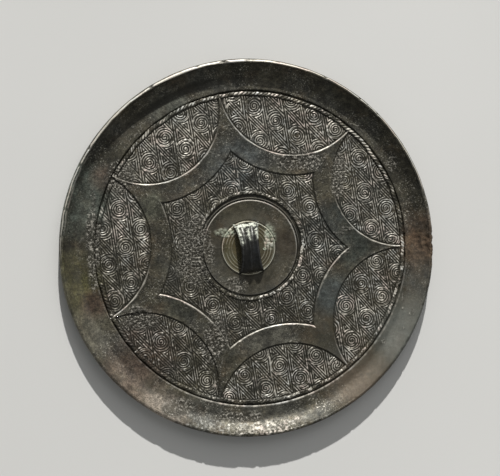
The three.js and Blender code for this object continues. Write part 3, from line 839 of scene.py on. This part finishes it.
def strap_knob(metal):
    """The strap with three sharp ridges, arched over the cord passage."""
    half_length = KNOB_LENGTH / 2
    crown = PASSAGE_HEIGHT + STRAP_THICKNESS
    foot = SEAT_HEIGHT - 0.3
    half_passage = PASSAGE_WIDTH / 2
    place = half_length * np.sin(np.linspace(-pi / 2, pi / 2, STRAP_STATIONS))
    edge = np.array([-half_passage, half_passage])
    place = np.sort(np.concatenate([place, edge - 0.01, edge + 0.01, edge * 0.995, edge * 0.98]))[:, None]
    lift = np.clip(1 - (place / half_length) ** 2, 0, 1) ** STRAP_BOW
    half_width = (KNOB_FOOT_WIDTH + (KNOB_WAIST_WIDTH - KNOB_FOOT_WIDTH) * lift**0.8) / 2
    valley = foot + (crown + 0.3) * lift + 0.1
    w = np.linspace(-1, 1, 57) * half_width
    outer_ridge = half_width - RIDGE_INSET
    to_ridge = np.minimum(np.abs(w), np.abs(np.abs(w) - outer_ridge))
    share = np.clip(to_ridge / (outer_ridge / 2), 0, 1)
    tail = smooth(0, 0.35, lift)
    top = valley + RIDGE_RISE * tail * (1 - share) ** 1.7
    top = top - 0.25 * (1 - smooth(0, 0.45, half_width - np.abs(w)))
    under = np.where(np.abs(place) < half_passage, SEAT_HEIGHT + passage_ceiling(place), foot)
    under = np.minimum(under, valley - 0.05)
    side_steps = np.linspace(0, 1, 6)[1:-1]
    left = under + (top[:, :1] - under) * side_steps
    right = under + (top[:, -1:] - under) * side_steps[::-1]
    left_side, right_side = (np.repeat(sign * half_width, 4, 1) for sign in (-1, 1))
    w_all = np.concatenate([left_side, w, right_side, np.linspace(1, -1, 9) * half_width], 1)
    z_all = np.concatenate([left, top, right, np.repeat(under, 9, 1)], 1)
    s_all = np.repeat(place, w_all.shape[1], 1)
    ridge_share = np.pad((1 - share) * tail, ((0, 0), (4, 13)))

    lumps = 0.1 * layered(s_all + 50, w_all, 3, 3, 81) - 0.06 * grains(s_all, w_all, 1.5, 82)
    # Whitish crust on the strap's half towards the key, heaviest along the ridges and the upper end: crust,
    # and a painted highlight there.
    crust_start = np.where(w_all < -1.5, 0.6, 2.6)
    crust_and_highlight = smooth(0, 2.2, s_all - crust_start + 1.2 * noise(s_all / 1.6, w_all / 1.6, 83))
    streaks = np.maximum(smooth(0.42, 0.72, ridge_share), smooth(9.2, 10.8, s_all))
    crust_and_highlight = crust_and_highlight * (0.16 + 0.84 * streaks)
    free = np.clip((z_all - SEAT_HEIGHT) / 1.5, 0, 1) * (z_all > under + 0.02)
    z_all = z_all + free * (lumps - 0.05 + 0.22 * crust_and_highlight * grains(s_all, w_all, 1.1, 84))
    x, y = turned(w_all, s_all, KNOB_TURN)
    rows, columns = w_all.shape
    faces = [strip_faces(rows, columns)[:, ::-1], *end_caps(rows, columns)]
    crest = np.clip(0.34 + 0.3 * ridge_share**1.5 + 0.14 * layered(s_all, w_all, 2, 3, 85), 0, 1)
    masks = [crest.ravel(), 0.4 * crust_and_highlight.ravel(), crust_and_highlight.ravel(), np.zeros(rows * columns)]
    points = np.stack([x, y, z_all], -1).reshape(-1, 3)
    return build_mesh("strap_knob", points, faces, masks, [metal])


def fill_inputs(tree, node, values):
    """Sets or links inputs of a shader node."""
    for key, value in values.items():
        if isinstance(value, bpy.types.NodeSocket):
            tree.links.new(value, node.inputs[key])
        else:
            node.inputs[key].default_value = value


def add_node(tree, kind, values, **settings):
    """A shader node of a kind, with its settings and inputs."""
    made = tree.nodes.new("ShaderNode" + kind)
    for key, value in settings.items():
        setattr(made, key, value)
    fill_inputs(tree, made, values)
    return made


def combined(tree, operation, first, second):
    """Two values joined by an arithmetic operation."""
    return add_node(tree, "Math", {0: first, 1: second}, operation=operation).outputs[0]


def new_material(name):
    """An empty node material with its Principled shader."""
    material = bpy.data.materials.new(name)
    material.use_nodes = True
    tree = material.node_tree
    return material, tree, tree.nodes["Principled BSDF"]


def mottle(tree, scale, detail, seed):
    """Noise over the object's own place, from 0 to 1."""
    where = add_node(tree, "TexCoord", {}).outputs["Object"]
    offset = (seed, seed * 0.7, seed * 1.3)
    moved = add_node(tree, "VectorMath", {0: where, 1: offset}, operation="ADD")
    made = add_node(tree, "TexNoise",
                    {"Vector": moved.outputs[0], "Scale": scale, "Detail": detail, "Roughness": 0.6})
    return made.outputs["Fac"]


def distance_from(tree, x, y):
    """Distance from an upright line through a point given in millimetres."""
    where = add_node(tree, "TexCoord", {}).outputs["Object"]
    flat = add_node(tree, "VectorMath", {0: where, 1: (1, 1, 0)}, operation="MULTIPLY")
    point = (x * MM, y * MM, 0)
    made = add_node(tree, "VectorMath", {0: flat.outputs[0], 1: point}, operation="DISTANCE")
    return made.outputs["Value"]


def stepped(tree, value, low, high, out_low=0, out_high=1):
    """A value's range mapped to another, held at its ends."""
    ends = {"From Min": low, "From Max": high, "To Min": out_low, "To Max": out_high}
    return add_node(tree, "MapRange", {"Value": value, **ends}).outputs["Result"]


def patches(tree, scale, detail, seed, low, high, out_low=0, out_high=1):
    """Soft-edged patches of noise over the object's own place."""
    return stepped(tree, mottle(tree, scale, detail, seed), low, high, out_low, out_high)


def times(tree, first, second):
    """The product of two values."""
    return combined(tree, "MULTIPLY", first, second)


def blended(tree, share, first, second):
    """Two colours mixed by a share."""
    first, second = (c if isinstance(c, bpy.types.NodeSocket) else (*c, 1) for c in (first, second))
    return add_node(tree, "Mix", {0: share, 6: first, 7: second}, data_type="RGBA").outputs[2]


def drawn_to(tree, share, value, end):
    """A value drawn towards another by a share."""
    return add_node(tree, "Mix", {0: share, 2: value, 3: end}, data_type="FLOAT").outputs[0]


def calm_share(tree):
    """How strongly a point lies where the patina is smooth."""
    strongest = 0
    for cx, cy, radius in CALM_PLACES:
        away = distance_from(tree, cx, cy)
        inside = stepped(tree, away, radius * MM, 0.6 * radius * MM, 0, 0.75)
        strongest = combined(tree, "MAXIMUM", strongest, inside)
    return strongest


def scaled(colour, by):
    """A colour made darker or lighter."""
    return tuple(by * c for c in colour)


def tinted(colour, tint):
    """A colour times a tint."""
    return tuple(c * t for c, t in zip(colour, tint))


def bumped(tree, height, strength, distance, **values):
    """The surface's direction with a bump on it."""
    values.update(Height=height, Strength=strength, Distance=distance)
    return add_node(tree, "Bump", values).outputs["Normal"]


def overlaid(tree, base, colour, share, strength):
    """A base with a colour laid over it by a share, as strong as given."""
    return blended(tree, times(tree, share, strength), base, colour)


def bare_patina(tree, dark, light, worn, fine, calm):
    """The patina's own colour: mottled, flecked, stained and uneven in tone."""
    base = blended(tree, patches(tree, 38, 5, 3, 0.36, 0.64), dark, light)
    base = overlaid(tree, base, scaled(dark, 0.55), fine, 0.45)
    cool = patches(tree, 60, 4, 27, 0.48, 0.62)
    base = overlaid(tree, base, tinted(light, COOL_TINT), cool, 0.5)
    warm = patches(tree, 90, 4, 21, 0.5, 0.68)
    base = overlaid(tree, base, tinted(light, WARM_TINT), warm, 0.4)
    fleck = times(tree, patches(tree, 1500, 2, 5, 0.58, 0.67), patches(tree, 70, 3, 6, 0.42, 0.6))
    base = overlaid(tree, base, scaled(worn, 0.8), drawn_to(tree, calm, fleck, 0), 0.65)
    blotchy = drawn_to(tree, calm, patches(tree, 120, 4, 61, 0.36, 0.58, 0.45, 1), 1)
    for cx, cy, radius, strength, *colour in STAINS:
        inside = stepped(tree, distance_from(tree, cx, cy), radius * MM, 0.45 * radius * MM)
        base = overlaid(tree, base, colour, times(tree, inside, blotchy), strength)
    tone = times(tree, patches(tree, 170, 4, 51, 0.4, 0.6, 0.7, 1.26),
                 patches(tree, 640, 3, 57, 0.4, 0.6, 0.72, 1.28))
    tone = times(tree, tone, patches(tree, 1700, 2, 63, 0.38, 0.62, 0.68, 1.36))
    tone = drawn_to(tree, calm, tone, 1)
    return add_node(tree, "HueSaturation", {"Value": tone, "Color": base}).outputs["Color"]


def worn_metal(tree, worn):
    """The colour of worn crests, rosy and bluish in patches."""
    base = blended(tree, patches(tree, 110, 3, 71, 0.5, 0.62, 0, 0.7), worn, tinted(worn, ROSY_TINT))
    return blended(tree, patches(tree, 90, 3, 77, 0.5, 0.62, 0, 0.7), base, tinted(worn, BLUISH_TINT))


def patina(name, dark, light, dirt_and_shade, worn, bloom, roughness, metal):
    """Old bronze: patina, dirt in the grooves, pale worn crests, green and brown corrosion; the crest mask
    also carries painted shade and painted highlights.
    """
    material, tree, shader = new_material(name)
    masks = add_node(tree, "VertexColor", {}, layer_name="masks")
    split = add_node(tree, "SeparateColor", {0: masks.outputs["Color"]})
    crest, pale, green = split.outputs[0], split.outputs[1], split.outputs[2]
    brown = masks.outputs["Alpha"]
    fine = patches(tree, 420, 4, 9, 0.34, 0.66)
    calm = calm_share(tree)
    base = bare_patina(tree, dark, light, worn, fine, calm)
    # The crest mask's low end gives dirt and painted shade, its high end worn crests and painted
    # highlights.
    base = blended(tree, stepped(tree, crest, 0.42, 0.05, 0, 0.95), base, dirt_and_shade)
    base = blended(tree, stepped(tree, crest, 0.52, 0.92, 0, 0.94), base, worn_metal(tree, worn))
    grit = patches(tree, 1000, 3, 33, 0.5, 0.64)
    base = overlaid(tree, base, blended(tree, grit, scaled(dark, 0.55), scaled(worn, 0.7)), pale, 0.75)
    crust = times(tree, brown, patches(tree, 260, 4, 14, 0.42, 0.62))
    base = overlaid(tree, base, CRUST_COLOUR, crust, 0.6)
    grown = times(tree, green, patches(tree, 620, 4, 17, 0.42, 0.58))
    base = overlaid(tree, base, bloom, grown, 0.85)
    rough = stepped(tree, fine, 0, 1, roughness - 0.08, roughness + 0.12)
    rough = combined(tree, "ADD", rough, times(tree, pale, 0.15))
    corroded = combined(tree, "MAXIMUM", grown, crust)
    metallic = stepped(tree, corroded, 0, 0.8, metal, 0.05)
    skin = bumped(tree, mottle(tree, 1100, 5, 2), drawn_to(tree, calm, 0.35, 0.12), 0.00025)
    rugged = bumped(tree, times(tree, grit, pale), 0.6, 0.0003, Normal=skin)
    ends = {"Base Color": base, "Roughness": rough, "Metallic": metallic, "Normal": rugged}
    fill_inputs(tree, shader, ends)
    return material


def face_metal():
    """The reflecting face: dulled and blotched, with islands of the old sheen."""
    material, tree, shader = new_material("reflecting_face")
    islands = patches(tree, 24, 6, 40, 0.44, 0.58)
    spots = patches(tree, 210, 5, 44, 0.52, 0.66)
    base = blended(tree, islands, (0.075, 0.08, 0.062), (0.23, 0.225, 0.2))
    base = overlaid(tree, base, (0.12, 0.18, 0.125), spots, 0.7)
    rough = stepped(tree, islands, 0, 1, 0.55, 0.24)
    metallic = stepped(tree, spots, 0, 1, 0.85, 0.2)
    bump = bumped(tree, mottle(tree, 300, 5, 47), 0.3, 0.0003)
    ends = {"Base Color": base, "Roughness": rough, "Metallic": metallic, "Normal": bump}
    fill_inputs(tree, shader, ends)
    return material


def floor():
    """A plain pale floor just under the reflecting face."""
    mesh = bpy.data.meshes.new("floor")
    corners = [(x * FLOOR_REACH, y * FLOOR_REACH, 0) for x, y in ((-1, -1), (1, -1), (1, 1), (-1, 1))]
    mesh.from_pydata(corners, [], [(0, 1, 2, 3)])
    material, tree, shader = new_material("floor_paint")
    base = blended(tree, patches(tree, 3, 3, 1, 0.3, 0.7), (0.62, 0.62, 0.61), (0.66, 0.66, 0.65))
    fill_inputs(tree, shader, {"Base Color": base, "Roughness": 0.75})
    mesh.materials.append(material)
    piece = placed("floor", mesh)
    piece.location.z = -FLOOR_GAP


def add_light(name, kind, energy, place):
    """A light that shines from a place's direction to the mirror's middle."""
    data = bpy.data.lights.new(name, kind)
    data.energy = energy
    made = placed(name, data)
    made.rotation_euler = Vector(place).to_track_quat("Z", "Y").to_euler()
    return made


def studio_light():
    """A low key light from the picture's top, a broad weak fill from above, and a dim room."""
    key = add_light("key", "SUN", KEY_ENERGY, KEY_PLACE)
    key.data.angle = KEY_ANGLE
    key.data.color = KEY_COLOUR
    fill = add_light("fill", "AREA", FILL_ENERGY, FILL_PLACE)
    fill.data.size = FILL_SIZE
    fill.location = FILL_PLACE
    world = bpy.data.worlds.new("room")
    world.use_nodes = True
    background = world.node_tree.nodes["Background"]
    background.inputs["Color"].default_value = ROOM_COLOUR
    background.inputs["Strength"].default_value = ROOM_STRENGTH
    bpy.context.scene.world = world
    bpy.context.scene.view_settings.view_transform = "Standard"


def camera():
    """The camera, framed as the photograph is."""
    flat = cos(CAMERA_UP)
    back = Vector((-sin(CAMERA_LEFT) * flat, sin(CAMERA_UP), cos(CAMERA_LEFT) * flat))
    data = bpy.data.cameras.new("camera")
    data.sensor_width = SENSOR_WIDTH
    data.lens = SENSOR_WIDTH * (PIXELS_PER_MM * CAMERA_AWAY / MM) / PHOTO_WIDTH
    data.shift_x, data.shift_y = (pixels / PHOTO_WIDTH for pixels in SHIFT_PIXELS)
    made = placed("camera", data)
    right = Vector((0, 1, 0)).cross(back).normalized()
    turn = Matrix((right, back.cross(right), back)).transposed()
    made.matrix_world = Matrix.Translation(Vector(CAMERA_AIM) + back * CAMERA_AWAY) @ turn.to_4x4()
    bpy.context.scene.camera = made


camera()
studio_light()
floor()
BRONZE = patina("patinated_bronze", dark=(0.044, 0.041, 0.029), light=(0.08, 0.073, 0.051),
                dirt_and_shade=(0.0145, 0.0133, 0.0088), worn=(0.6, 0.57, 0.5), bloom=(0.33, 0.36, 0.28),
                roughness=0.46, metal=0.4)
SEAT_BRONZE = patina("seat_bronze", dark=(0.048, 0.041, 0.02), light=(0.1, 0.085, 0.04),
                     dirt_and_shade=(0.016, 0.015, 0.011), worn=(0.52, 0.5, 0.4), bloom=(0.2, 0.26, 0.19),
                     roughness=0.46, metal=0.3)
# Its pale bloom is the knob's whitish crust, which on the strap's half towards the key is also a painted
# highlight.
BLACK_BRONZE = patina("black_bronze", dark=(0.018, 0.018, 0.017), light=(0.034, 0.034, 0.032),
                      dirt_and_shade=(0.01, 0.01, 0.009), worn=(0.16, 0.165, 0.17), bloom=(0.74, 0.77, 0.66),
                      roughness=0.36, metal=0.4)
mirror_disc(BRONZE, face_metal())
for number in range(len(ARCS)):
    arc_band(BRONZE, number)
rope_ring(BRONZE, "outer_rope", OUTER_ROPE_RADIUS, GROUND_CENTRE, ROPE_WIDTH, 0.3, 0.55, 55)
rope_ring(BRONZE, "inner_rope", INNER_ROPE_RADIUS, INNER_ROPE_CENTRE, INNER_ROPE_WIDTH, 0.5, 1.3, 57)
whorl_ground(BRONZE)
ring_band_and_seat(BRONZE, SEAT_BRONZE)
strap_knob(BLACK_BRONZE)
